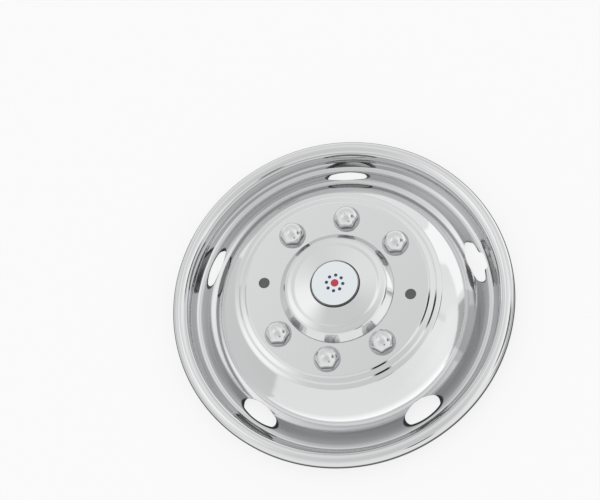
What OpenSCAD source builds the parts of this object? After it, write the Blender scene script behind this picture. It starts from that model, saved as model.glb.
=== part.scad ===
// Front wheel simulator for an eight-stud 19.5 inch truck wheel: a liner pressed from
// polished stainless sheet, with a hub cap, a round medallion and six hexagonal lug covers.
// It lies face up, with the wheel's axis along +Z and two open stud holes on the X axis.

/* [Liner] */
// Diameter over the rolled lip
overall_d = 528; // [515:1:545]
// Thickness of the stainless sheet
sheet_t = 1; // [0.8:0.1:1.3]
// Outside radius of the rolled lip's section
lip_roll = 12; // [10:0.5:13]
// How far the lip curls under, below its widest point, in degrees
lip_wrap = 50; // [30:1:70]
// Slope of the steep drop inside the lip, in degrees
lip_drop_slope = 80; // [76:1:84]
// Length of that drop
lip_drop_l = 13.5; // [12:0.5:15]
// Radius of the bend below it
lip_drop_fillet = 6; // [4:0.5:8]
// Slope of the wall from there down into the valley, in degrees
valley_wall_slope = 46; // [42:1:50]
// Depth of the valley below the middle of the lip's roll
valley_depth = 20; // [18:0.5:22]
// Radius at the bottom of the valley
valley_fillet = 8; // [5:0.5:9]
// Slope of the valley's inner side where it starts to climb, in degrees
valley_slope = 43; // [38:1:45]
// Radius of the hollow curve from the valley up to the foot of the face
valley_sweep = 36; // [20:1:46]
// Distance from the lip's edge in to the foot of the face
foot_inset = 57; // [55:0.5:60]
// Depth of the foot of the face below the middle of the lip's roll
foot_drop = 6; // [4:0.5:8]
// How far the crown of the sloping face stands out from a straight cone
face_crown = 3; // [2:0.2:5]
// Radius of the crown of the sloping face
face_sweep = 300; // [150:10:330]

/* [Lug plate] */
// Height of the lug plate above the middle of the lip's roll
plate_h = 60; // [54:1:68]
// Radius of the ridge where the sloping face begins
ridge_r = 158; // [155:0.5:161]
// Radial distance between the concentric ridges
ridge_pitch = 9.6; // [8:0.2:10]
// Step down at each ridge
ridge_step = 2.2; // [1.5:0.1:2.6]
// Radial width of the step at each ridge
ridge_w = 3; // [2.5:0.1:4]
// Slope of the ledges between the ridges, in degrees
ledge_slope = 11; // [4:1:16]
// Radius of the bends at the ridges
ridge_fillet = 2.4; // [2:0.1:3]

/* [Stud holes and lug covers] */
// Diameter of the wheel's stud circle
stud_circle_d = 225; // [222:0.5:228]
// Number of places on the stud circle, of which two opposite ones stay open
stud_count = 8; // [8:2:8]
// Diameter of the two open stud holes
stud_hole_d = 17; // [14:0.5:24]
// Diameter of each lug cover's flange
cover_flange_d = 41; // [38:0.5:43]
// Size of a lug cover across its flats
cover_flats = 32; // [29:0.5:34]
// Height of a lug cover above the plate
cover_h = 22; // [20:0.5:27]
// Radius of a lug cover's rounded crown
cover_crown = 19; // [18.5:0.5:19.5]
// Outside diameter of the spigot that goes through the plate
cover_spigot_d = 27; // [24:0.5:27]
// Length of the spigot behind the plate
cover_spigot_l = 5; // [4:0.5:7]
// Radius of the dimple in the middle of a crown
cover_dimple = 2; // [1:0.5:3]
// Gap round each piece that passes through a hole in the plate
fit_gap = 0.4; // [0.2:0.1:0.6]
// Width of the push-on retainer behind each lug cover
retainer_w = 4.2; // [3.6:0.1:4.6]
// Thickness of the push-on retainers
retainer_t = 0.6; // [0.4:0.1:0.9]
// Number of gripping teeth in a retainer
retainer_teeth = 8; // [6:1:12]
// Width of the slots between the teeth
retainer_slot = 1.2; // [0.8:0.1:2]

/* [Hub cap] */
// Gap between the hub cap's flange and the lug retainers
flange_gap = 2.25; // [1:0.25:4]
// Gap between the hub cap and the edge of the plate
cap_gap = 1; // [0.6:0.1:1.5]
// Width of the hub cap's flange behind the plate
cap_flange_w = 6; // [5:0.5:7]
// Height above the plate of the hub cap's straight neck
cap_neck_h = 1.6; // [1:0.2:3]
// Radius of the bend above the neck
cap_neck_fillet = 2.5; // [1.5:0.5:4]
// Distance from the cap's base in to its shoulder
cap_shoulder_inset = 10; // [8:0.5:12]
// Height of the hub cap's shoulder above the plate
cap_shoulder_h = 14; // [11:0.5:15]
// Radius of the hub cap's shoulder
cap_shoulder_fillet = 8; // [5:0.5:9]
// Distance from the shoulder in to the shallow step in the cap's crown
cap_step_inset = 13.5; // [10:0.5:18]
// Radial width of the step
cap_step_w = 4; // [3:0.5:5]
// Height that the crown loses at the step
cap_step_drop = 2.2; // [1.6:0.1:2.6]
// Radius of the bends at the step
cap_step_fillet = 5; // [3:0.5:6]
// Height of the seat for the medallion above the plate
seat_h = 20; // [18.5:0.5:24]
// Width of the low rim round the seat
seat_rim_w = 3; // [2.6:0.2:4]
// Height of the rim above the seat
seat_rim_h = 1.2; // [0.8:0.1:1.5]

/* [Medallion] */
// Diameter of the medallion
medallion_d = 71; // [60:1:76]
// Height that the medallion stands above its seat
medallion_h = 4.5; // [3:0.5:6]
// Height of the crown on the medallion's face
medallion_crown = 0.8; // [0.4:0.1:1.2]
// Chamfer at the medallion's lower edge
medallion_chamfer = 0.4; // [0.2:0.1:0.6]

/* [Hand holes] */
// Number of hand holes round the slope
hand_hole_count = 5; // [5:1:5]
// Angle of the hand hole that has the valve notch, from the open stud hole
hand_hole_turn = 24; // [20:1:28]
// Distance from the lip's edge in to the middle of a hand hole
hand_hole_inset = 52; // [50:0.5:54]
// Radial width of a hand hole, seen from the front
hand_hole_w = 22; // [19:0.5:26]
// Length of a hand hole round the slope
hand_hole_l = 60; // [54:1:68]
// Width of the notch for the valve stem
valve_notch_w = 30; // [24:0.5:34]
// Distance from the lip's edge in to the end of the valve notch
valve_notch_inset = 36; // [33:0.5:38]
// Corner radius of the valve notch
valve_notch_fillet = 7; // [4:0.5:8]

/* [Hidden] */
$fn = 180;
BEND_STEP = 10;                 // degrees turned by one facet of a bend's section
OUTLINE_STEP = 18;              // degrees turned by one facet of a hole's outline
BEND_SHARE = 0.7;               // how much of a straight run one bend may use
END_SHARE = 0.44;               // radius of a hand hole's round ends, by its width
GRIP_GAP = 0.05;                // left between a retainer's teeth and the spigot
TOOTH_SHARE = 0.4;              // how much of a retainer's width is teeth
TOOTH_RISE = 0.3;               // how far the teeth stand back, by the retainer's width
STUD_STEP = 360 / stud_count;
COVER_PLACES = [for (i = [1 : stud_count - 1]) if (i != stud_count / 2) i];
// Each lug cover was pushed in at whatever turn its hexagon happened to have.
COVER_TURNS = [0, 52, 8, 25, 0, 52, 8, 52];

steel = "gainsboro";
lip_z = valley_depth + sheet_t;                    // the part lies on the bottom of its valley
plate_z = lip_z + plate_h;                         // front face of the lug plate
stud_r = stud_circle_d / 2;
cover_hole_r = cover_spigot_d / 2 + fit_gap;
cover_spigot_r = cover_spigot_d / 2;
retainer_bore_r = cover_spigot_r + GRIP_GAP;
// The hub cap, where it comes through the plate, as wide as the lug retainers let its flange be
cap_r = stud_r - retainer_bore_r - retainer_w - flange_gap - cap_flange_w;
hub_hole_r = cap_r + cap_gap;
through = plate_h + lip_z + cover_h;               // longer than any cut has to reach

// The lip's roll, and the point where the wall leaves it
lip_centre = [overall_d / 2 - lip_roll, lip_z];
wall_top = lip_centre + lip_roll * [cos(90 + lip_drop_slope), sin(90 + lip_drop_slope)];
wall_knee = wall_top - lip_drop_l * [cos(lip_drop_slope), sin(lip_drop_slope)];
// The corner at the bottom of the valley, before it is rounded
valley_corner_z = sheet_t + valley_fillet
    * (1 - cos((valley_wall_slope - valley_slope) / 2) / cos((valley_wall_slope + valley_slope) / 2));
valley_corner = [wall_knee[0] - (wall_knee[1] - valley_corner_z) / tan(valley_wall_slope), valley_corner_z];
// The foot and the head of the sloping face, and the corner that gives it its crown
foot = [overall_d / 2 - foot_inset, lip_z - foot_drop];
ledge_w = ridge_pitch - ridge_w;
ledge_fall = ledge_w * tan(ledge_slope);
ridge = [ridge_r, plate_z - 2 * (ridge_step + ledge_fall)];
crown_corner = (foot + ridge) / 2 + face_crown * left_of(unit(foot - ridge));
// The corner where the hollow curve turns from the valley to the foot
foot_rise = (crown_corner[1] - foot[1]) / (foot[0] - crown_corner[0]);
sweep_run = (foot[1] - valley_corner[1] - foot_rise * (valley_corner[0] - foot[0]))
    / (sin(valley_slope) - foot_rise * cos(valley_slope));
sweep_corner = valley_corner + sweep_run * [-cos(valley_slope), sin(valley_slope)];

function unit(v) = v / norm(v);
function left_of(v) = [-v[1], v[0]];
function turned(v, a) = [v[0] * cos(a) - v[1] * sin(a), v[0] * sin(a) + v[1] * cos(a)];
function reversed(list) = [for (i = [len(list) - 1 : -1 : 0]) list[i]];
function flat_point(p) = [p[0], p[1]];
function steps_for(angle, step = BEND_STEP) = max(3, ceil(abs(angle) / step));

// An arc of a section, from one angle to another about a centre
function arc(centre, r, from, to, step = BEND_STEP) =
    let (n = steps_for(to - from, step))
    [for (i = [0 : n]) let (a = from + (to - from) * i / n) centre + r * [cos(a), sin(a)]];

// A bend of radius r at corner b of the line a-b-c, on the surface that lies "behind" its front
function bend(a, b, c, r, behind) =
    let (u = unit(b - a), w = unit(c - b),
         side = sign(u[0] * w[1] - u[1] * w[0]),
         half = acos(u * w) / 2,
         reach = min(r * tan(half), BEND_SHARE * norm(b - a), BEND_SHARE * norm(c - b)),
         radius = reach / tan(half),
         start = b - u * reach,
         centre = start + side * radius * left_of(u),
         n = steps_for(2 * half))
    [for (i = [0 : n])
        centre + turned(start - centre, side * 2 * half * i / n) * (radius + side * behind) / radius];

// One surface of a sheet that follows corners [r, z, bend radius], from the axis outwards
function surface_line(corners, behind) =
    let (n = len(corners), p = [for (c = corners) flat_point(c)],
         first = p[0] - behind * left_of(unit(p[1] - p[0])),
         last = p[n - 1] - behind * left_of(unit(p[n - 1] - p[n - 2])))
    concat([first],
           [for (i = [1 : n - 2]) each bend(p[i - 1], p[i], p[i + 1], corners[i][2], behind)],
           [last]);

// Where the line through the corners stands, from the plate out to the top of the lip's wall
liner_corners = [
    [hub_hole_r, plate_z],
    [ridge_r - 2 * ridge_pitch, plate_z, ridge_fillet],
    [ridge_r - 2 * ridge_pitch + ridge_w, plate_z - ridge_step, ridge_fillet],
    [ridge_r - ridge_pitch, plate_z - ridge_step - ledge_fall, ridge_fillet],
    [ridge_r - ridge_pitch + ridge_w, plate_z - 2 * ridge_step - ledge_fall, ridge_fillet],
    [ridge[0], ridge[1], 2 * ridge_fillet],
    [crown_corner[0], crown_corner[1], face_sweep],
    [sweep_corner[0], sweep_corner[1], valley_sweep],
    [valley_corner[0], valley_corner[1], valley_fillet],
    [wall_knee[0], wall_knee[1], lip_drop_fillet],
    [wall_top[0], wall_top[1]]
];

function liner_line(behind) =
    concat(surface_line(liner_corners, behind),
           arc(lip_centre, lip_roll - behind, 90 + lip_drop_slope, -lip_wrap));

module liner_section() {
    polygon(concat(liner_line(0), reversed(liner_line(sheet_t))));
}

// A hand hole seen from the front: an oval of two flat arcs and two round ends
module hand_hole_outline() {
    end_r = hand_hole_w * END_SHARE;
    end_x = hand_hole_l / 2 - end_r;
    side_r = (end_x * end_x + pow(hand_hole_w / 2, 2) - end_r * end_r) / (hand_hole_w - 2 * end_r);
    side_y = side_r - hand_hole_w / 2;
    spread = atan2(end_x, side_y);
    oval = concat(arc([0, -side_y], side_r, 90 - spread, 90 + spread, OUTLINE_STEP),
                  arc([-end_x, 0], end_r, 90 + spread, 270 - spread, OUTLINE_STEP),
                  arc([0, side_y], side_r, 270 - spread, 270 + spread, OUTLINE_STEP),
                  arc([end_x, 0], end_r, 270 + spread, 450 - spread, OUTLINE_STEP));
    translate([overall_d / 2 - hand_hole_inset, 0]) rotate(90) polygon(oval);
}

// The notch that leads from one hand hole through the valley, for the valve stem
module valve_notch_outline() {
    inner = overall_d / 2 - hand_hole_inset;
    outer = overall_d / 2 - valve_notch_inset;
    r = valve_notch_fillet;
    half = valve_notch_w / 2;
    polygon(concat([[inner, -half]], arc([outer - r, r - half], r, -90, 0, OUTLINE_STEP),
                   arc([outer - r, half - r], r, 0, 90, OUTLINE_STEP), [[inner, half]]));
}

module at_stud(i) {
    rotate(i * STUD_STEP) translate([stud_r, 0, 0]) children();
}

module liner() {
    color(steel) difference() {
        rotate_extrude() liner_section();
        for (i = [0 : hand_hole_count - 1])
            rotate(hand_hole_turn + i * 360 / hand_hole_count)
                translate([0, 0, -1]) linear_extrude(through) hand_hole_outline();
        rotate(hand_hole_turn) translate([0, 0, -1]) linear_extrude(through) valve_notch_outline();
        for (i = [0, stud_count / 2]) at_stud(i) cylinder(r = stud_hole_d / 2, h = through);
        for (i = COVER_PLACES) at_stud(i) cylinder(r = cover_hole_r, h = through);
    }
}

// The cap is pushed through from behind, and its flange is spot-welded to the back of the plate.
module hub_cap() {
    seat_z = plate_z + seat_h;
    back_z = plate_z - sheet_t;
    shoulder_r = cap_r - cap_shoulder_inset;
    step_r = shoulder_r - cap_step_inset;
    step_z = plate_z + (seat_h + cap_shoulder_h) / 2;
    rim_r = medallion_d / 2 + seat_rim_w;
    corners = [
        [0, seat_z],
        [rim_r - 2 * seat_rim_h, seat_z, seat_rim_h],
        [rim_r, seat_z + seat_rim_h, 2 * seat_rim_h],
        [step_r, step_z + cap_step_drop / 3, cap_step_fillet],
        [step_r + cap_step_w, step_z - 2 * cap_step_drop / 3, cap_step_fillet],
        [shoulder_r, plate_z + cap_shoulder_h, cap_shoulder_fillet],
        [cap_r, plate_z + cap_neck_h, cap_neck_fillet],
        [cap_r, back_z, sheet_t / 2],
        [cap_r + cap_flange_w, back_z]
    ];
    line = surface_line(corners, 0);
    back = surface_line(corners, sheet_t);
    color(steel) rotate_extrude() polygon(concat(line, reversed(back)));
}

module medallion() {
    r = medallion_d / 2;
    crown_r = (r * r + medallion_crown * medallion_crown) / (2 * medallion_crown);
    spread = asin(r / crown_r);
    color("white") translate([0, 0, plate_z + seat_h]) rotate_extrude()
        polygon(concat([[0, 0], [r - medallion_chamfer, 0], [r, medallion_chamfer]],
                       arc([0, medallion_h - crown_r], crown_r, 90 - spread, 90)));
}

// A hexagon with a ball-shaped crown, standing on floor_z and smaller by the wall on the inside
module lug_dome(wall, floor_z) {
    flats = cover_flats - 2 * wall;
    crown_z = cover_h - cover_crown;
    translate([0, 0, floor_z]) cylinder(d = flats / cos(30), h = crown_z - floor_z, $fn = 6);
    intersection() {
        translate([0, 0, crown_z]) cylinder(d = flats / cos(30), h = cover_crown, $fn = 6);
        translate([0, 0, crown_z]) sphere(r = cover_crown - wall);
    }
}

module lug_cover(i) {
    color(steel) at_stud(i) translate([0, 0, plate_z]) rotate(COVER_TURNS[i]) difference() {
        union() {
            lug_dome(0, 0);
            cylinder(d1 = cover_flange_d, d2 = cover_flange_d - sheet_t, h = sheet_t);
            translate([0, 0, -sheet_t - cover_spigot_l])
                cylinder(r = cover_spigot_r, h = cover_spigot_l + 2 * sheet_t);
        }
        lug_dome(sheet_t, sheet_t);
        translate([0, 0, -sheet_t - cover_spigot_l - 1])
            cylinder(r = cover_spigot_r - sheet_t, h = cover_spigot_l + 4 * sheet_t);
        translate([0, 0, cover_h + cover_dimple / 2]) sphere(r = cover_dimple);
    }
}

// A dished washer of spring steel, whose teeth grip the spigot behind the plate
module lug_retainer(i) {
    bend_r = retainer_bore_r + retainer_w * TOOTH_SHARE;
    back_z = plate_z - sheet_t;
    corners = [
        [retainer_bore_r, back_z - retainer_w * TOOTH_RISE],
        [bend_r, back_z, 2 * retainer_t],
        [retainer_bore_r + retainer_w, back_z]
    ];
    color("silver") at_stud(i) difference() {
        rotate_extrude()
            polygon(concat(surface_line(corners, 0), reversed(surface_line(corners, retainer_t))));
        for (k = [0 : retainer_teeth - 1]) rotate(k * 360 / retainer_teeth)
            translate([retainer_bore_r - 1, -retainer_slot / 2, back_z - cover_spigot_l])
                cube([bend_r - retainer_bore_r + 1, retainer_slot, cover_spigot_l + 1]);
    }
}

liner();
hub_cap();
medallion();
for (i = COVER_PLACES) {
    lug_cover(i);
    lug_retainer(i);
}
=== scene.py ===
import cmath
import math

import bpy
import numpy as np
from mathutils import Matrix, Vector


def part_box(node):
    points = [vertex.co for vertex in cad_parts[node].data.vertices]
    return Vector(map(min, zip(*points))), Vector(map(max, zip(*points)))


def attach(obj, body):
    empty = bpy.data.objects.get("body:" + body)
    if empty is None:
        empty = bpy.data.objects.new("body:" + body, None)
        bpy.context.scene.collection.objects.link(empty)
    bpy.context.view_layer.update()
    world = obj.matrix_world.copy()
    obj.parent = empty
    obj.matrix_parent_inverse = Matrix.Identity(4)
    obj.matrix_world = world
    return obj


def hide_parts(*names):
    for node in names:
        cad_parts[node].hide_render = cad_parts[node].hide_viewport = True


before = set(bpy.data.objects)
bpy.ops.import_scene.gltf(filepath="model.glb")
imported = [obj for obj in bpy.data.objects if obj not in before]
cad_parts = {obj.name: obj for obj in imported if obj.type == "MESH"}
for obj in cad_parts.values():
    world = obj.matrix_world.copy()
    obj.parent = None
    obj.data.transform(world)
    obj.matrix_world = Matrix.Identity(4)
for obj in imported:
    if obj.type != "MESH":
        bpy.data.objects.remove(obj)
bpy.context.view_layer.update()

# Liner. One disc of stainless sheet, pressed to the shape of the wheel that it covers, with
# its edge rolled into a round lip. The hand holes, the valve notch and the stud holes are
# punched, the edges of the hand holes are drawn in, and the sheet is polished to a mirror.
SHEET = 0.001
LIP_ROLL = 0.012
LIP_WRAP = math.radians(50)
LIP_DROP_SLOPE = math.radians(80)
LIP_DROP_L = 0.0135
LIP_DROP_FILLET = 0.006
WALL_SLOPE = math.radians(46)
VALLEY_DEPTH = 0.020
VALLEY_FILLET = 0.008
VALLEY_SLOPE = math.radians(43)
VALLEY_SWEEP = 0.036
FOOT_INSET = 0.057
FOOT_DROP = 0.006
FACE_CROWN = 0.003
FACE_SWEEP = 0.300
RIDGE_R = 0.158
RIDGE_PITCH = 0.0096
RIDGE_STEP = 0.0022
RIDGE_W = 0.003
LEDGE_SLOPE = math.radians(11)
RIDGE_FILLET = 0.0024
HUB_HOLE_R = 0.0875
STUD_R = 0.1125
STUD_STEP = 45
STUD_HOLE_R = 0.0085
COVER_HOLE_R = 0.0139
COVER_PLACES = (1, 2, 3, 5, 6, 7)
HAND_HOLES = 5
HAND_HOLE_TURN = 24
HAND_HOLE_R = 0.212
HAND_HOLE_W = 0.021
HAND_HOLE_L = 0.062
VALVE_HOLE_L = 0.070
HAND_HOLE_END = 0.34
NOTCH_REACH = 0.016
NOTCH_W = 0.030
NOTCH_FILLET = 0.007
CORNER_EASE = 0.002
EDGE_R = 0.003
EDGE_TURN = math.radians(80)
EDGE_HEIGHT_SHARE = 0.6
LEAST_EDGE_R = 0.0003
EDGE_SET_BACK = 0.8
RING_CLOSING = 1.4

rim_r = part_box("liner")[1].x
plate_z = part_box("liner")[1].z
lip_z = VALLEY_DEPTH + SHEET


# A place in a section is a complex number: the distance from the axis, and the height.
def unit(way):
    return way / abs(way)


def bend(before, corner, after, radius):
    """Places and front normals round one corner of a pressed section."""
    way_in, way_out = unit(corner - before), unit(after - corner)
    turn = cmath.phase(way_out / way_in)
    reach = min(radius * math.tan(abs(turn) / 2), 0.7 * abs(corner - before), 0.7 * abs(after - corner))
    radius = math.copysign(reach / math.tan(abs(turn) / 2), turn)
    count = max(2, math.ceil(abs(turn) / math.radians(6)), math.ceil(abs(turn * radius) / 0.0025))
    normals = [1j * way_in * cmath.exp(1j * turn * k / count) for k in range(count + 1)]
    centre = corner - reach * way_in + radius * normals[0]
    return [(centre - radius * normal, normal) for normal in normals]


def section(corners):
    """Places and front normals along the corners (place, bend radius), from the axis outwards."""
    places = [place for place, _ in corners]
    line = [(places[0], 1j * unit(places[1] - places[0]))]
    for before, (corner, radius), after in zip(places, corners[1:], places[2:]):
        line += bend(before, corner, after, radius)
    return line + [(places[-1], 1j * unit(places[-1] - places[-2]))]


def spread(line, longest):
    """The same line with no span longer than this."""
    out = [line[0]]
    for (a, n), (b, m) in zip(line, line[1:]):
        parts = math.ceil(abs(b - a) / longest)
        out += [(a + (b - a) * k / parts, unit(n + (m - n) * k / parts)) for k in range(1, parts + 1)]
    return out


def on_circle(place, normal, angle):
    """A place and a normal of a section, turned round the axis to an angle."""
    way = cmath.exp(1j * angle)
    return (
        Vector((place.real * way.real, place.real * way.imag, place.imag)),
        Vector((normal.real * way.real, normal.real * way.imag, normal.imag)),
    )


def sheet_object(name, spots, faces, thickness=0.0):
    """A mesh from spots (place, normal) and faces on the front of a sheet, with its back and edges."""
    count = len(spots)
    points = [place for place, _ in spots]
    normals = [normal for _, normal in spots]
    polygons = list(faces)
    corners = [normals[i] for face in faces for i in face]
    if thickness:
        points += [place - normal * thickness for place, normal in spots]
        polygons += [tuple(i + count for i in reversed(face)) for face in faces]
        corners += [-normals[i] for face in faces for i in reversed(face)]
        sides = {(a, b) for face in faces for a, b in zip(face, face[1:] + face[:1])}
        rims = [(a, b) for a, b in sides if (b, a) not in sides]
        outward = {a: Vector() for a, _ in rims}
        for a, b in rims:
            way = (points[b] - points[a]).cross(normals[a] + normals[b]).normalized()
            outward[a] += way
            outward[b] += way
        for a, b in rims:
            polygons.append((b, a, a + count, b + count))
            corners += [outward[b].normalized(), outward[a].normalized()]
            corners += [outward[a].normalized(), outward[b].normalized()]
    mesh = bpy.data.meshes.new(name)
    mesh.from_pydata(points, [], polygons)
    mesh.polygons.foreach_set("use_smooth", [True] * len(polygons))
    mesh.normals_split_custom_set(corners)
    mesh.update()
    made = bpy.data.objects.new(name, mesh)
    bpy.context.scene.collection.objects.link(made)
    return made


lip_centre = complex(rim_r - LIP_ROLL, lip_z)
wall_top = lip_centre + LIP_ROLL * cmath.exp(1j * (math.pi / 2 + LIP_DROP_SLOPE))
knee = wall_top - cmath.rect(LIP_DROP_L, LIP_DROP_SLOPE)
half_opening = (WALL_SLOPE - VALLEY_SLOPE) / 2
half_sum = (WALL_SLOPE + VALLEY_SLOPE) / 2
valley_z = SHEET + VALLEY_FILLET * (1 - math.cos(half_opening) / math.cos(half_sum))
valley = complex(knee.real - (knee.imag - valley_z) / math.tan(WALL_SLOPE), valley_z)
ledge_fall = (RIDGE_PITCH - RIDGE_W) * math.tan(LEDGE_SLOPE)
foot = complex(rim_r - FOOT_INSET, lip_z - FOOT_DROP)
ridge = complex(RIDGE_R, plate_z - 2 * (RIDGE_STEP + ledge_fall))
crown = (foot + ridge) / 2 + FACE_CROWN * 1j * unit(foot - ridge)
foot_rise = (crown.imag - foot.imag) / (foot.real - crown.real)
sweep_run = (foot.imag - valley.imag - foot_rise * (valley.real - foot.real)) / (
    math.sin(VALLEY_SLOPE) - foot_rise * math.cos(VALLEY_SLOPE)
)
sweep = valley + sweep_run * cmath.exp(1j * (math.pi - VALLEY_SLOPE))

plate_edge = RIDGE_R - 2 * RIDGE_PITCH
liner_corners = [
    (complex(HUB_HOLE_R, plate_z), 0),
    (complex(plate_edge, plate_z), RIDGE_FILLET),
    (complex(plate_edge + RIDGE_W, plate_z - RIDGE_STEP), RIDGE_FILLET),
    (complex(plate_edge + RIDGE_PITCH, plate_z - RIDGE_STEP - ledge_fall), RIDGE_FILLET),
    (complex(plate_edge + RIDGE_PITCH + RIDGE_W, plate_z - 2 * RIDGE_STEP - ledge_fall), RIDGE_FILLET),
    (ridge, 2 * RIDGE_FILLET),
    (crown, FACE_SWEEP),
    (sweep, VALLEY_SWEEP),
    (valley, VALLEY_FILLET),
    (knee, LIP_DROP_FILLET),
    (wall_top, 0),
]
lip_angles = np.linspace(math.pi / 2 + LIP_DROP_SLOPE, -LIP_WRAP, 30)
lip_line = [(lip_centre + LIP_ROLL * cmath.exp(1j * a), cmath.exp(1j * a)) for a in lip_angles]
ROW_STEP = 0.003
rows = spread(section(liner_corners)[:-1] + lip_line, ROW_STEP)
flank = [spot for spot in rows if spot[0].real < rim_r - LIP_ROLL / 2]
flank_r = [place.real for place, _ in flank]


def on_liner(plan):
    """The liner's front and its normal at a place seen from the front, as x + yj."""
    place = complex(abs(plan), np.interp(abs(plan), flank_r, [place.imag for place, _ in flank]))
    normal = unit(
        complex(
            np.interp(abs(plan), flank_r, [normal.real for _, normal in flank]),
            np.interp(abs(plan), flank_r, [normal.imag for _, normal in flank]),
        )
    )
    return on_circle(place, normal, cmath.phase(plan))


# Outlines are seen from the hole's middle, where angle 0 points away from the axis.
def arc(centre, radius, start, end, count=24):
    return [centre + radius * cmath.exp(1j * math.radians(a)) for a in np.linspace(start, end, count)]


def reach_of(outline):
    """The distance from the middle to the outline, as a function of the angle."""
    polar = sorted((cmath.phase(place), abs(place)) for place in outline)
    angles, reaches = zip(*polar)
    return lambda angle: np.interp(angle, angles, reaches, period=2 * math.pi)


def oval(length):
    """Two flat arcs and two round ends, long across the radius."""
    end_r = HAND_HOLE_W * HAND_HOLE_END
    end_y = length / 2 - end_r
    side_r = (end_y**2 + HAND_HOLE_W**2 / 4 - end_r**2) / (HAND_HOLE_W - 2 * end_r)
    side_x = side_r - HAND_HOLE_W / 2
    half = math.degrees(math.atan2(end_y, side_x))
    return (
        arc(-side_x, side_r, -half, half)
        + arc(1j * end_y, end_r, half, 180 - half)
        + arc(side_x, side_r, 180 - half, 180 + half)
        + arc(-1j * end_y, end_r, 180 + half, 360 - half)
    )


def notch():
    """A slot with rounded corners that leads outwards from the middle."""
    corner = complex(NOTCH_REACH - NOTCH_FILLET, NOTCH_W / 2 - NOTCH_FILLET)
    return (
        [complex(x, -NOTCH_W / 2) for x in np.linspace(-0.001, corner.real, 40)]
        + arc(corner.conjugate(), NOTCH_FILLET, -90, 0, 12)
        + [complex(NOTCH_REACH, y) for y in np.linspace(-corner.imag, corner.imag, 20)]
        + arc(corner, NOTCH_FILLET, 0, 90, 12)
        + [complex(x, NOTCH_W / 2) for x in np.linspace(corner.real, -0.001, 40)]
    )


oval_reach = reach_of(oval(HAND_HOLE_L))
valve_oval_reach = reach_of(oval(VALVE_HOLE_L))
notch_reach = reach_of(notch())


def notched_reach(angle):
    """The oval and the notch together, with the corner between them eased."""
    if abs(angle) > math.pi / 2:
        return valve_oval_reach(angle)
    a, b = valve_oval_reach(angle), notch_reach(angle)
    share = max(CORNER_EASE - abs(a - b), 0) / CORNER_EASE
    return max(a, b) + share * share * CORNER_EASE / 4


# The sheet is a grid of rows along the section and columns round the axis, in degrees. Columns
# are closer where a hand hole is.
FINE_STEP = 0.75
COARSE_STEPS = 2
FINE_HALF = 12
hand_hole_angles = [HAND_HOLE_TURN + k * 360 / HAND_HOLES for k in range(HAND_HOLES)]


def between(angle, other):
    """The smaller angle between two bearings, in degrees."""
    return abs((angle - other + 180) % 360 - 180)


def near_hand_hole(angle):
    return any(between(angle, middle) <= FINE_HALF for middle in hand_hole_angles)


fine_columns = [(k, k * FINE_STEP) for k in range(round(360 / FINE_STEP))]
columns = [angle for k, angle in fine_columns if k % COARSE_STEPS == 0 or near_hand_hole(angle)]
spots = [on_circle(*row, math.radians(angle)) for row in rows for angle in columns]
liner_faces = []
taken = set()


def spot_at(row, column):
    return row * len(columns) + column % len(columns)


def open_hole(radius, angle, half_angle, low_r, high_r, reach, edge_r, rings):
    """Takes out a window of the grid, and fills it with rings that close in on the hole's outline."""
    low = max(i for i, (place, _) in enumerate(flank) if place.real < low_r)
    high = min(i for i, (place, _) in enumerate(flank) if place.real > high_r)
    inside = [j for j, column in enumerate(columns) if between(column, angle) <= half_angle]
    first = next(j for j in inside if (j - 1) % len(columns) not in inside)
    run = [first + k for k in range(len(inside))]
    taken.update((i, j % len(columns)) for i in range(low, high) for j in run[:-1])
    loop = [spot_at(i, run[0]) for i in range(low, high)]
    loop += [spot_at(high, j) for j in run[:-1]]
    loop += [spot_at(i, run[-1]) for i in range(high, low, -1)]
    loop += [spot_at(low, j) for j in reversed(run[1:])]
    middle = cmath.rect(radius, math.radians(angle))
    turns = np.linspace(0, EDGE_TURN, 7)[1:] if edge_r else []
    levels = []
    for index in loop:
        plan = complex(spots[index][0].x, spots[index][0].y)
        way = unit(plan - middle)
        clear = reach(cmath.phase(way / unit(middle)))
        rim_height = on_liner(middle + way * clear)[0].z
        room = EDGE_HEIGHT_SHARE * (rim_height - SHEET)
        roll = min(edge_r, max(room, LEAST_EDGE_R)) if edge_r else 0
        start = clear + EDGE_SET_BACK * roll
        out = []
        for k in range(1, rings + 1):
            share = (1 - k / rings) ** RING_CLOSING
            out.append(on_liner(middle + way * (start + (abs(plan - middle) - start) * share)))
        place, normal = out[-1]
        inward = Vector((-way.real, -way.imag, 0))
        inward = (inward - normal * inward.dot(normal)).normalized()
        for turn in turns:
            out.append(
                (
                    place + inward * roll * math.sin(turn) - normal * roll * (1 - math.cos(turn)),
                    normal * math.cos(turn) + inward * math.sin(turn),
                )
            )
        levels.append(out)
    before = loop
    for k in range(rings + len(turns)):
        after = [len(spots) + m for m in range(len(loop))]
        spots.extend(level[k] for level in levels)
        for m in range(len(loop)):
            n = (m + 1) % len(loop)
            liner_faces.append((before[m], before[n], after[n], after[m]))
        before = after


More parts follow.
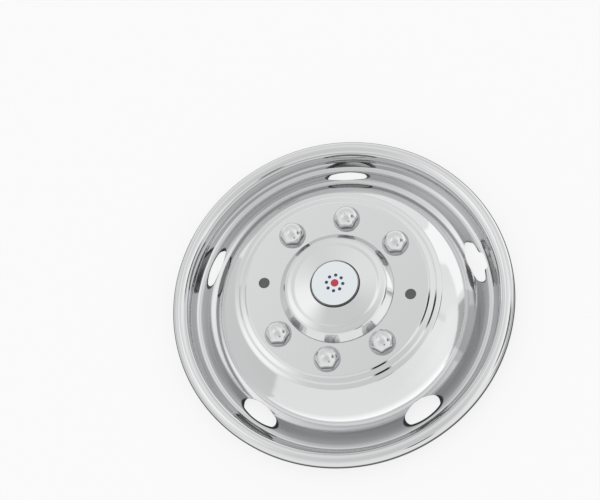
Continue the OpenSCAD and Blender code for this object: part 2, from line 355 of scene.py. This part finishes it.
HAND_WINDOW_IN = 0.0205
HAND_WINDOW_OUT = 0.0155
VALVE_WINDOW_OUT = 0.024
STUD_WINDOW = 0.017
STUD_WINDOW_HALF = 9
for k, angle in enumerate(hand_hole_angles):
    reach, window_out = (notched_reach, VALVE_WINDOW_OUT) if k == 0 else (oval_reach, HAND_WINDOW_OUT)
    low_r, high_r = HAND_HOLE_R - HAND_WINDOW_IN, HAND_HOLE_R + window_out
    open_hole(HAND_HOLE_R, angle, FINE_HALF, low_r, high_r, reach, EDGE_R, 5)
for k in range(360 // STUD_STEP):
    hole_r = COVER_HOLE_R if k in COVER_PLACES else STUD_HOLE_R
    low_r, high_r = STUD_R - STUD_WINDOW, STUD_R + STUD_WINDOW
    open_hole(STUD_R, k * STUD_STEP, STUD_WINDOW_HALF, low_r, high_r, lambda angle: hole_r, 0, 3)
for i in range(len(rows) - 1):
    for j in range(len(columns)):
        if (i, j) not in taken:
            liner_faces.append((spot_at(i, j), spot_at(i + 1, j), spot_at(i + 1, j + 1), spot_at(i, j + 1)))
used = sorted({i for face in liner_faces for i in face})
renumbered = {old: new for new, old in enumerate(used)}
liner_faces = [tuple(renumbered[i] for i in face) for face in liner_faces]
pressed_liner = sheet_object("pressed_liner", [spots[i] for i in used], liner_faces, SHEET)


class Wire:
    """One output of a node tree. Sums and products of wires add their Math nodes."""

    def __init__(self, tree, socket=None):
        self.tree = tree
        self.socket = socket

    def node(self, kind, settings, inputs, output=0):
        """A node of this kind, its settings first, then the values or wires of its sockets."""
        made = self.tree.nodes.new(kind)
        for name, value in settings.items():
            setattr(made, name, value)
        for name, value in inputs.items():
            if isinstance(value, Wire):
                self.tree.links.new(value.socket, made.inputs[name])
            else:
                made.inputs[name].default_value = value
        return Wire(self.tree, made.outputs[output]) if made.outputs else None

    def math(self, operation, *values):
        return self.node("ShaderNodeMath", {"operation": operation}, dict(enumerate(values)))

    def __add__(self, other):
        return self.math("ADD", self, other)

    def __sub__(self, other):
        return self.math("SUBTRACT", self, other)

    def __rsub__(self, other):
        return self.math("SUBTRACT", other, self)

    def __mul__(self, other):
        return self.math("MULTIPLY", self, other)

    def __truediv__(self, other):
        return self.math("DIVIDE", self, other)

    def __rtruediv__(self, other):
        return self.math("DIVIDE", other, self)

    def __pow__(self, other):
        return self.math("POWER", self, other)

    __radd__ = __add__
    __rmul__ = __mul__


def new_material(name):
    """A material with an empty tree, as a wire that nodes are added from."""
    made = bpy.data.materials.new(name)
    made.use_nodes = True
    made.node_tree.nodes.clear()
    return made, Wire(made.node_tree)


def object_coordinates(tree):
    """X, Y and Z on the object, and its distance from the axis."""
    place = tree.node("ShaderNodeTexCoord", {}, {}, "Object")
    x, y, z = (tree.node("ShaderNodeSeparateXYZ", {}, {0: place}, axis) for axis in "XYZ")
    return place, x, y, z, (x * x + y * y).math("SQRT", x * x + y * y)


def mixed(mask, below, above):
    """One colour where the mask is 0 and the other where it is 1."""
    return mask.node(
        "ShaderNodeMix", {"data_type": "RGBA"}, {"Factor": mask, 6: below, 7: above}, "Result"
    )


def beyond(distance, start, end):
    """0 up to the start and 1 from the end on."""
    return distance.node(
        "ShaderNodeMapRange",
        {"interpolation_type": "SMOOTHSTEP"},
        {"Value": distance, "From Min": start, "From Max": end},
    )


def mirror_steel(tree, place, radius, colour, roughness):
    """Polished stainless steel with its buffing rings, and a slight haze. Roughness is the least one."""
    buffing = tree.node(
        "ShaderNodeTexNoise", {"noise_dimensions": "1D"}, {"W": radius, "Scale": 2600, "Detail": 2}
    )
    haze = tree.node("ShaderNodeTexNoise", {}, {"Vector": place, "Scale": 11, "Detail": 3})
    relief = tree.node("ShaderNodeBump", {}, {"Strength": 0.02, "Distance": 0.0001, "Height": buffing})
    shader = tree.node(
        "ShaderNodeBsdfPrincipled",
        {},
        {
            "Base Color": colour,
            "Metallic": 1.0,
            "Roughness": roughness + 0.02 * buffing + 0.04 * haze,
            "Normal": relief,
        },
    )
    tree.node("ShaderNodeOutputMaterial", {}, {"Surface": shader})


def apart(x, y, bearing):
    """The smaller angle between this bearing, in degrees, and the place's own, as a wire in radians."""
    own = y.math("ARCTAN2", y, x)
    return x.math("ABSOLUTE", x.math("WRAP", own - math.radians(bearing), math.pi, -math.pi))


# The steel's colour has painted light in zones, chosen to match the photograph: a painted
# reflection that lightens the foot of the face, with one gap, painted shade in the crease behind it,
# and painted shade on the edges of the hand holes. The painted shade in the crease is strongest,
# and the painted shade on the hole edges is shifted, on the side that the photograph is taken from.
POLISHED = (0.73, 0.733, 0.738, 1)
PAINTED_REFLECTION = (0.97, 0.972, 0.975, 1)
PAINTED_REFLECTION_RISE = (0.187, 0.195)
PAINTED_REFLECTION_FALL = (0.2035, 0.2055)
PAINTED_REFLECTION_GAP = -5
PAINTED_REFLECTION_GAP_HALF = (13, 15)
CREASE_PAINTED_SHADE = (0.33, 0.335, 0.345, 1)
CREASE_PAINTED_SHADE_RISE = (0.2045, 0.207)
CREASE_PAINTED_SHADE_FALL = (0.211, 0.234)
CREASE_PAINTED_SHADE_SHARE = 0.75
SHADE_SIDE = math.radians(299)
HOLE_EDGE_PAINTED_SHADE = (0.045, 0.046, 0.05, 1)
HOLE_EDGE_PAINTED_SHADE_REACH = (1.22, 1.45)
EDGE_SHADE = 0.001

polished, tree = new_material("polished_stainless")
place, x, y, z, radius = object_coordinates(tree)
# Painted shade in the crease behind the face's foot, stronger on one side.
toward_shade_side = (x * math.cos(SHADE_SIDE) + y * math.sin(SHADE_SIDE)) / radius
crease_painted_shade = beyond(radius, *CREASE_PAINTED_SHADE_RISE) * (1 - beyond(radius, *CREASE_PAINTED_SHADE_FALL))
crease_painted_shade = crease_painted_shade * (CREASE_PAINTED_SHADE_SHARE + (1 - CREASE_PAINTED_SHADE_SHARE) * toward_shade_side)
gap_start, gap_end = (math.radians(half) for half in PAINTED_REFLECTION_GAP_HALF)
# Painted reflection: a lighter ring on the foot of the face, with one gap.
painted_reflection_ring = beyond(radius, *PAINTED_REFLECTION_RISE) * (1 - beyond(radius, *PAINTED_REFLECTION_FALL))
painted_reflection_ring = painted_reflection_ring * beyond(apart(x, y, PAINTED_REFLECTION_GAP), gap_start, gap_end)
# Painted shade on the edges of the hand holes, shifted a little towards one side.
x, y = x - EDGE_SHADE * math.cos(SHADE_SIDE), y - EDGE_SHADE * math.sin(SHADE_SIDE)
share = math.pi / HAND_HOLES
from_hole = y.math("ARCTAN2", y, x) - math.radians(HAND_HOLE_TURN)
bearing = y.math("WRAP", from_hole, share, -share)
out = y.math("SQRT", x * x + y * y)
along = out * bearing.math("SINE", bearing) * (2 / HAND_HOLE_L)
across = (out * bearing.math("COSINE", bearing) - HAND_HOLE_R) * (2 / HAND_HOLE_W)
hole_edge_painted_shade = 1 - beyond(along * along + across * across, *HOLE_EDGE_PAINTED_SHADE_REACH)
# The steel's colour with its painted reflection and painted shade.
steel_with_painted_light = mixed(crease_painted_shade, mixed(painted_reflection_ring, POLISHED, PAINTED_REFLECTION), CREASE_PAINTED_SHADE)
mirror_steel(tree, place, radius, mixed(hole_edge_painted_shade, steel_with_painted_light, HOLE_EDGE_PAINTED_SHADE), 0.03)
pressed_liner.data.materials.append(polished)
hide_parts("liner")
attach(pressed_liner, "root")

# Hub cap. A separate stainless pressing, pushed up through the middle of the plate from behind
# and spot-welded by its flange. It has a rolled shoulder, a shallow step and a flat seat.
CAP_R = 0.0865
CAP_FLANGE_W = 0.006
CAP_NECK_H = 0.0016
CAP_NECK_FILLET = 0.0025
CAP_SHOULDER_INSET = 0.010
CAP_SHOULDER_H = 0.014
CAP_SHOULDER_FILLET = 0.008
CAP_STEP_INSET = 0.0135
CAP_STEP_W = 0.004
CAP_STEP_DROP = 0.0022
CAP_STEP_FILLET = 0.005
SEAT_H = 0.020
SEAT_RIM_W = 0.003
SEAT_RIM_H = 0.0012
MEDALLION_R = 0.0355

seat_z = plate_z + SEAT_H
rim = complex(MEDALLION_R + SEAT_RIM_W, seat_z + SEAT_RIM_H)
shoulder = complex(CAP_R - CAP_SHOULDER_INSET, plate_z + CAP_SHOULDER_H)
step = complex(shoulder.real - CAP_STEP_INSET, plate_z + (SEAT_H + CAP_SHOULDER_H) / 2 + CAP_STEP_DROP / 3)
cap_corners = [
    (complex(0, seat_z), 0),
    (complex(rim.real - 2 * SEAT_RIM_H, seat_z), SEAT_RIM_H),
    (rim, 2 * SEAT_RIM_H),
    (step, CAP_STEP_FILLET),
    (step + complex(CAP_STEP_W, -CAP_STEP_DROP), CAP_STEP_FILLET),
    (shoulder, CAP_SHOULDER_FILLET),
    (complex(CAP_R, plate_z + CAP_NECK_H), CAP_NECK_FILLET),
    (complex(CAP_R, plate_z - SHEET), SHEET / 2),
    (complex(CAP_R + CAP_FLANGE_W, plate_z - SHEET), 0),
]


def spun(name, line, count, thickness=0.0):
    """A section turned once round the axis. A place on the axis becomes one point."""
    angles = [2 * math.pi * k / count for k in range(count)]
    made, rings = [], []
    for place, normal in line:
        ring = [0] if abs(place.real) < 1e-7 else angles
        rings.append([len(made) + k for k in range(len(ring))])
        made += [on_circle(place, normal, angle) for angle in ring]
    faces = []
    for inner, outer in zip(rings, rings[1:]):
        for k in range(count):
            n = (k + 1) % count
            if len(inner) == 1:
                faces.append((inner[0], outer[k], outer[n]))
            elif len(outer) == 1:
                faces.append((inner[k], outer[0], inner[n]))
            else:
                faces.append((inner[k], outer[k], outer[n], inner[n]))
    return sheet_object(name, made, faces, thickness)


pressed_cap = spun("pressed_hub_cap", spread(section(cap_corners), ROW_STEP), 180, SHEET)
pressed_cap.data.materials.append(polished)
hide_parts("hub_cap")
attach(pressed_cap, "root")

# Medallion. A moulded disc with a white enamelled face and painted shade on its edge, glued onto
# the cap's seat. Its emblem is a plain one: a red disc in a ring of eight navy dots, one for each stud.
MEDALLION_H = 0.0045
MEDALLION_CROWN = 0.0008
EMBLEM_R = 0.0125
DOT_R = 0.0026
DISC_R = 0.006

medallion_corners = [
    (complex(0, seat_z + MEDALLION_H), 0),
    (complex(MEDALLION_R * 0.6, seat_z + MEDALLION_H - 0.3 * MEDALLION_CROWN), 0.3),
    (complex(MEDALLION_R, seat_z + MEDALLION_H - MEDALLION_CROWN), 0.0005),
    (complex(MEDALLION_R, seat_z + 0.0001), 0.0001),
    (complex(0, seat_z + 0.0001), 0),
]
medallion_line = spread(section(medallion_corners), 0.002)
enamelled_medallion = spun("enamelled_medallion", medallion_line, 120)
enamel, tree = new_material("white_enamel")
place, x, y, z, radius = object_coordinates(tree)
WHITE = (0.80, 0.845, 0.87, 1)
NAVY = (0.018, 0.025, 0.085, 1)
RED = (0.50, 0.015, 0.05, 1)
RIM_PAINTED_SHADE = (0.02, 0.02, 0.022, 1)


def soft_step(distance, edge):
    """1 inside the edge and 0 outside it, with a soft border of a fifth of a millimetre."""
    return distance.node(
        "ShaderNodeMapRange",
        {"interpolation_type": "SMOOTHSTEP"},
        {"Value": distance, "From Min": edge - 0.0001, "From Max": edge + 0.0001, "To Min": 1, "To Max": 0},
    )


share = math.pi / 4
folded = y.math("ARCTAN2", y, x).math("WRAP", y.math("ARCTAN2", y, x), share / 2, -share / 2)
across = radius * folded.math("COSINE", folded) - EMBLEM_R
along = radius * folded.math("SINE", folded)
dot_distance = x.math("SQRT", across * across + along * along)
face_colour = mixed(soft_step(dot_distance, DOT_R), WHITE, NAVY)
face_colour = mixed(soft_step(radius, DISC_R), face_colour, RED)
# Painted shade: the side and the outer rim of the face are dark.
face_colour = mixed(1 - soft_step(radius, MEDALLION_R - 0.0006), face_colour, RIM_PAINTED_SHADE)
shader = tree.node(
    "ShaderNodeBsdfPrincipled",
    {},
    {"Base Color": face_colour, "Roughness": 0.35, "Coat Weight": 0.5, "Coat Roughness": 0.08},
)
tree.node("ShaderNodeOutputMaterial", {}, {"Surface": shader})
enamelled_medallion.data.materials.append(enamel)
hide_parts("medallion")
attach(enamelled_medallion, "root")

# Lug covers. Six caps of stainless sheet, each a hexagon with a ball-shaped crown, a dimple,
# and a flange that hides its hole in the plate. Each is drawn as one ring of a section that a
# hexagon cuts, in a node tree that has the sizes as inputs.
COVER_FLANGE_R = 0.0205
COVER_FLATS = 0.032
COVER_H = 0.022
COVER_CROWN = 0.019
COVER_SPIGOT_R = 0.0135
COVER_SPIGOT_L = 0.005
COVER_FLANGE_H = 0.0022
COVER_FLANGE_EDGE = 0.001
DIMPLE_DEPTH = 0.0012
DIMPLE_HALF = 0.16
COVER_TURNS = {1: 52, 2: 8, 3: 25, 5: 52, 6: 8, 7: 52}

crown_z = COVER_H - COVER_CROWN
fine_crown = np.linspace(0, 0.2, 14)
crown_angles = np.concatenate((fine_crown, np.linspace(fine_crown[-1], math.pi / 2, 30)[1:]))


def on_crown(angle):
    """A place on the crown's front, at this angle from its top. The dimple falls off as a cosine."""
    dimple = math.cos(min(angle / DIMPLE_HALF, 1) * math.pi / 2) ** 2
    return complex(
        COVER_CROWN * math.sin(angle), crown_z + COVER_CROWN * math.cos(angle) - DIMPLE_DEPTH * dimple
    )


cover_line = [on_crown(angle) for angle in crown_angles]
cover_line += [complex(COVER_CROWN, h) for h in np.linspace(crown_z, COVER_FLANGE_H, 6)[1:]]
flange = [
    (complex(COVER_FLATS / 2, COVER_FLANGE_H), 0),
    (complex(COVER_FLATS / 2 + COVER_FLANGE_H, COVER_FLANGE_EDGE + 0.0002), 0.001),
    (complex(COVER_FLANGE_R, COVER_FLANGE_EDGE), 0.0004),
    (complex(COVER_FLANGE_R, 0.0), 0.0003),
    (complex(COVER_SPIGOT_R, 0.0), 0.0002),
    (complex(COVER_SPIGOT_R, -SHEET - COVER_SPIGOT_L), 0.0003),
    (complex(COVER_SPIGOT_R - SHEET, -SHEET - COVER_SPIGOT_L), 0.0003),
    (complex(COVER_SPIGOT_R - SHEET, SHEET), 0),
]
inner = [
    complex((COVER_CROWN - SHEET) * math.sin(a), crown_z + (COVER_CROWN - SHEET) * math.cos(a))
    for a in np.linspace(math.pi / 2, 0, 10)
]
flange_line = [place for place, _ in section(flange)]
profile = cover_line + flange_line[1:] + [complex(COVER_CROWN - SHEET, SHEET)] + inner
clips = [COVER_FLATS / 2] * len(cover_line) + [1.0] * (len(flange_line) - 1)
clips += [COVER_FLATS / 2 - SHEET] * (len(inner) + 1)


def cover_tree():
    """Turns the section's points into rings, cuts them with a hexagon and sets the cap in place."""
    group = bpy.data.node_groups.new("lug_cover", "GeometryNodeTree")
    face = group.interface
    face.new_socket("Geometry", in_out="INPUT", socket_type="NodeSocketGeometry")
    face.new_socket("Columns", in_out="INPUT", socket_type="NodeSocketInt")
    lengths = ("Stud Circle Radius", "Seat Height", "Edge Softness")
    for name in ("Turn", "Place", "Corner Sharpness") + lengths:
        face.new_socket(name, in_out="INPUT", socket_type="NodeSocketFloat")
    face.new_socket("Material", in_out="INPUT", socket_type="NodeSocketMaterial")
    face.new_socket("Geometry", in_out="OUTPUT", socket_type="NodeSocketGeometry")
    tree = Wire(group)
    entry = group.nodes.new("NodeGroupInput")
    value = {socket.name: Wire(group, socket) for socket in entry.outputs}
    rows_count = tree.node(
        "GeometryNodeAttributeDomainSize",
        {"component": "MESH"},
        {"Geometry": value["Geometry"]},
        "Point Count",
    )
    grid = tree.node(
        "GeometryNodeMeshGrid",
        {},
        {"Size X": 1.0, "Size Y": 1.0, "Vertices X": value["Columns"] + 1, "Vertices Y": rows_count},
        "Mesh",
    )
    place = tree.node("GeometryNodeInputPosition", {}, {})
    across = tree.node("ShaderNodeSeparateXYZ", {}, {0: place}, "X") + 0.5
    down = tree.node("ShaderNodeSeparateXYZ", {}, {0: place}, "Y") + 0.5
    row = tree.math("ROUND", down * (rows_count - 1))
    source = tree.node(
        "GeometryNodeSampleIndex",
        {"data_type": "FLOAT_VECTOR"},
        {"Geometry": value["Geometry"], "Value": place, "Index": row},
    )
    out, clip, height = (tree.node("ShaderNodeSeparateXYZ", {}, {0: source}, axis) for axis in "XYZ")
    angle = across * (-2 * math.pi)
    sharp = value["Corner Sharpness"]
    total = 0
    for k in range(3):
        side = tree.math("ABSOLUTE", tree.math("COSINE", angle + k * math.pi / 3))
        total = side**sharp + total
    flat = clip / total ** (1 / sharp)
    out = tree.math("SMOOTH_MIN", out, flat, value["Edge Softness"])
    turned = angle + value["Turn"]
    ring = tree.node(
        "ShaderNodeCombineXYZ",
        {},
        {"X": out * tree.math("COSINE", turned), "Y": out * tree.math("SINE", turned), "Z": height},
    )
    shaped = tree.node("GeometryNodeSetPosition", {}, {"Geometry": grid, "Position": ring})
    closed = tree.node("GeometryNodeMergeByDistance", {}, {"Geometry": shaped, "Distance": 0.00002})
    smooth = tree.node("GeometryNodeSetShadeSmooth", {}, {"Geometry": closed})
    spin = tree.node("ShaderNodeCombineXYZ", {}, {"Z": value["Place"]})
    shift = tree.node(
        "ShaderNodeCombineXYZ", {}, {"X": value["Stud Circle Radius"], "Z": value["Seat Height"]}
    )
    moved = tree.node("GeometryNodeTransform", {}, {"Geometry": smooth, "Translation": shift})
    set_round = tree.node("GeometryNodeTransform", {}, {"Geometry": moved, "Rotation": spin})
    real = tree.node("GeometryNodeRealizeInstances", {}, {"Geometry": set_round})
    painted = tree.node("GeometryNodeSetMaterial", {}, {"Geometry": real, "Material": value["Material"]})
    tree.node("NodeGroupOutput", {}, {"Geometry": painted})
    return group


# The covers' lower halves are painted darker as shade, to match the photograph.
SHADED = (0.40, 0.405, 0.415, 1)
SHADED_FALL = (0.003, 0.013)

cover_steel, tree = new_material("cover_stainless")
place, x, y, z, radius = object_coordinates(tree)
low = 1 - beyond(z, *(plate_z + height for height in SHADED_FALL))
mirror_steel(tree, place, radius, mixed(low, POLISHED, SHADED), 0.14)
lug_cover_tree = cover_tree()
section_mesh = bpy.data.meshes.new("lug_cover_section")
section_mesh.from_pydata([(p.real, c, p.imag) for p, c in zip(profile, clips)], [], [])
for place in COVER_PLACES:
    maker = bpy.data.objects.new("lug_cover_maker", section_mesh)
    bpy.context.scene.collection.objects.link(maker)
    modifier = maker.modifiers.new("lug cover", "NODES")
    modifier.node_group = lug_cover_tree
    settings = {
        "Columns": 120,
        "Turn": math.radians(COVER_TURNS[place]),
        "Place": math.radians(place * STUD_STEP),
        "Stud Circle Radius": STUD_R,
        "Seat Height": plate_z,
        "Corner Sharpness": 26.0,
        "Edge Softness": 0.0012,
        "Material": cover_steel,
    }
    for item in lug_cover_tree.interface.items_tree:
        if item.in_out == "INPUT" and item.name in settings:
            modifier[item.identifier] = settings[item.name]
    graph = bpy.context.evaluated_depsgraph_get()
    mesh = bpy.data.meshes.new_from_object(maker.evaluated_get(graph))
    maker.modifiers.clear()
    bpy.data.objects.remove(maker)
    cover = bpy.data.objects.new(f"pressed_lug_cover_{place}", mesh)
    bpy.context.scene.collection.objects.link(cover)
    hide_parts(f"lug_cover_{place}")
    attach(cover, "root")

# Lug retainers. Dished washers of spring steel, each pushed onto a cover's spigot from behind the
# plate. They keep their CAD meshes and get the finish of plated spring steel.
SPRING_DARK = (0.30, 0.31, 0.33, 1)
SPRING_LIGHT = (0.44, 0.45, 0.47, 1)

spring, tree = new_material("spring_steel")
place, x, y, z, radius = object_coordinates(tree)
grain = tree.node("ShaderNodeTexNoise", {}, {"Vector": place, "Scale": 900, "Detail": 2})
tone = mixed(grain, SPRING_DARK, SPRING_LIGHT)
shader = tree.node(
    "ShaderNodeBsdfPrincipled",
    {},
    {"Base Color": tone, "Metallic": 1.0, "Roughness": 0.28 + 0.15 * grain},
)
tree.node("ShaderNodeOutputMaterial", {}, {"Surface": shader})
for place in COVER_PLACES:
    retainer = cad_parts[f"lug_retainer_{place}"]
    retainer.data.materials.clear()
    retainer.data.materials.append(spring)

# Studio. A white floor and a white room. Only mirrored rays see the rings and sectors on the floor,
# and the bright panels and dark places in the room. They were fitted to what the photograph's
# steel mirrors, and some are brighter than the white room.
HALF_FLOOR = 6
UNDER_PART = 0.30
FLOOR_RINGS = [(0.165, 0.18, -0.18), (0.205, 0.215, 0.6), (0.262, 0.27, -0.6), (0.285, 0.33, 0.88)]
FLOOR_SECTORS = [(192, 36, -0.24), (0, 18, -0.48), (40, 18, 0.25)]
SECTOR_RISE = (0.30, 0.34)
# For the camera the floor is lightened, but hardly in a disc under the part.
SEEN_GLOW = 0.02
SEEN_GLOW_OUT = 0.78
SEEN_GLOW_RISE = (0.160, 0.172)

floor_mesh = bpy.data.meshes.new("floor")
floor_ends = [(-1, -1), (1, -1), (1, 1), (-1, 1)]
floor_points = [(x * HALF_FLOOR, y * HALF_FLOOR, 0) for x, y in floor_ends]
floor_mesh.from_pydata(floor_points, [], [(0, 1, 2, 3)])
floor = bpy.data.objects.new("floor", floor_mesh)
bpy.context.scene.collection.objects.link(floor)
floor_paint, tree = new_material("floor_paint")
place, x, y, z, radius = object_coordinates(tree)
rays = tree.node("ShaderNodeLightPath", {}, {}, "Is Camera Ray")
glossy = tree.node("ShaderNodeLightPath", {}, {}, "Is Glossy Ray")
mirrored = UNDER_PART
for start, end, change in FLOOR_RINGS:
    mirrored = mirrored + change * beyond(radius, start, end)
for side, half, change in FLOOR_SECTORS:
    sector = 1 - beyond(apart(x, y, side), math.radians(half - 1), math.radians(half + 1))
    mirrored = mirrored + sector * beyond(radius, *SECTOR_RISE) * change
paint = tree.node("ShaderNodeBsdfDiffuse", {}, {"Color": (0.85, 0.85, 0.85, 1)})
bright = tree.node("ShaderNodeEmission", {}, {"Color": (1, 1, 1, 1), "Strength": 1.0})
glow = tree.node("ShaderNodeEmission", {}, {"Color": (1, 1, 1, 1), "Strength": mirrored})
lightened = SEEN_GLOW + SEEN_GLOW_OUT * beyond(radius, *SEEN_GLOW_RISE)
pale = tree.node("ShaderNodeMixShader", {}, {0: lightened * rays, 1: paint, 2: bright})
shown = tree.node("ShaderNodeMixShader", {}, {0: glossy, 1: pale, 2: glow})
tree.node("ShaderNodeOutputMaterial", {}, {"Surface": shown})
floor_mesh.materials.append(floor_paint)

world = bpy.data.worlds.new("studio")
bpy.context.scene.world = world
world.use_nodes = True
world.node_tree.nodes.clear()
tree = Wire(world.node_tree)
way = tree.node("ShaderNodeTexCoord", {}, {}, "Generated")


def panel(azimuth, elevation, half_width, half_height, blur, strength):
    """What a panel in the room adds to the mirrored light. Angles in degrees, seen from the part."""
    a, e = math.radians(azimuth), math.radians(elevation)
    out = Vector((math.sin(a) * math.cos(e), -math.cos(a) * math.cos(e), math.sin(e)))
    level = Vector((math.cos(a), math.sin(a), 0))
    facing, across, up = (
        way.node("ShaderNodeVectorMath", {"operation": "DOT_PRODUCT"}, {0: way, 1: tuple(axis)}, "Value")
        for axis in (out, level, out.cross(level))
    )
    across = across * (1 / math.sin(math.radians(half_width)))
    up = up * (1 / math.sin(math.radians(half_height)))
    reach = (across * across * across * across + up * up * up * up) ** 0.25
    return (1 - beyond(reach, 1 - blur, 1 + blur)) * beyond(facing, 0.0, 0.1) * strength


# Azimuth, elevation, half width and half height in degrees, blur of the edge, and strength.
PANELS = [
    (-105, 63, 16, 9, 0.7, 0.42),
    (150, 60, 40, 14, 0.8, 0.27),
    (110, 48, 30, 12, 0.8, 0.13),
    (-75, 42, 20, 10, 0.8, 0.12),
    (0, 90, 34, 34, 0.8, -0.18),
    (35, 62, 34, 20, 0.8, -0.13),
    (-165, 40, 50, 30, 0.8, -0.22),
    (-76, 4, 31, 8, 0.06, -0.25),
    (102, 31, 12, 8, 0.3, -0.9),
    (104, 14, 8, 4, 0.35, -0.75),
    (37, 35, 6, 6, 0.3, -0.9),
    (95, 5, 38, 8, 0.8, 0.1),
]
mirrored = sum(panel(*values) for values in PANELS) + 1.0
rays = tree.node("ShaderNodeLightPath", {}, {}, "Is Camera Ray")
glossy = tree.node("ShaderNodeLightPath", {}, {}, "Is Glossy Ray")
ROOM_LIGHT = 0.93
lit = tree.node("ShaderNodeBackground", {}, {"Color": (1, 1, 1, 1), "Strength": ROOM_LIGHT})
seen = tree.node("ShaderNodeBackground", {}, {"Color": (1, 1, 1, 1), "Strength": 1.0})
room = tree.node("ShaderNodeBackground", {}, {"Color": (1, 1, 1, 1), "Strength": mirrored})
both = tree.node("ShaderNodeMixShader", {}, {0: glossy, 1: lit, 2: room})
all_rays = tree.node("ShaderNodeMixShader", {}, {0: rays, 1: both, 2: seen})
tree.node("ShaderNodeOutputWorld", {}, {"Surface": all_rays})

# Camera. A long lens, 4 m away and high over the part, rolled so that the axis leans left.
CAMERA_AZIMUTH = math.radians(29.17)
CAMERA_ELEVATION = math.radians(68.29)
CAMERA_ROLL = math.radians(23.09)
CAMERA_DISTANCE = 4.0
FOCAL_PX = 2640.5
TARGET = Vector((0, 0, 0.060))
TARGET_PX = (339.0, 293.2)
IMAGE_PX = (600, 500)

camera_data = bpy.data.cameras.new("camera")
camera_data.lens = FOCAL_PX / IMAGE_PX[0] * camera_data.sensor_width
camera_data.clip_end = 30
camera = bpy.data.objects.new("camera", camera_data)
bpy.context.scene.collection.objects.link(camera)
back = Vector(
    (
        math.sin(CAMERA_AZIMUTH) * math.cos(CAMERA_ELEVATION),
        -math.cos(CAMERA_AZIMUTH) * math.cos(CAMERA_ELEVATION),
        math.sin(CAMERA_ELEVATION),
    )
)
level = Vector((math.cos(CAMERA_AZIMUTH), math.sin(CAMERA_AZIMUTH), 0))
upright = back.cross(level)
right = level * math.cos(CAMERA_ROLL) - upright * math.sin(CAMERA_ROLL)
up = level * math.sin(CAMERA_ROLL) + upright * math.cos(CAMERA_ROLL)
metre_px = CAMERA_DISTANCE / FOCAL_PX
offset = (TARGET_PX[0] - IMAGE_PX[0] / 2) * metre_px, (TARGET_PX[1] - IMAGE_PX[1] / 2) * metre_px
aim = TARGET - right * offset[0] + up * offset[1]
camera.location = TARGET + back * CAMERA_DISTANCE
away = (camera.location - aim).normalized()
up = (up - away * up.dot(away)).normalized()
right = up.cross(away)
camera.rotation_mode = "QUATERNION"
turn = np.array([list(right), list(up), list(away)]).T
camera.rotation_quaternion = Matrix(turn.tolist()).to_quaternion()
bpy.context.scene.camera = camera
bpy.context.scene.view_settings.view_transform = "Standard"
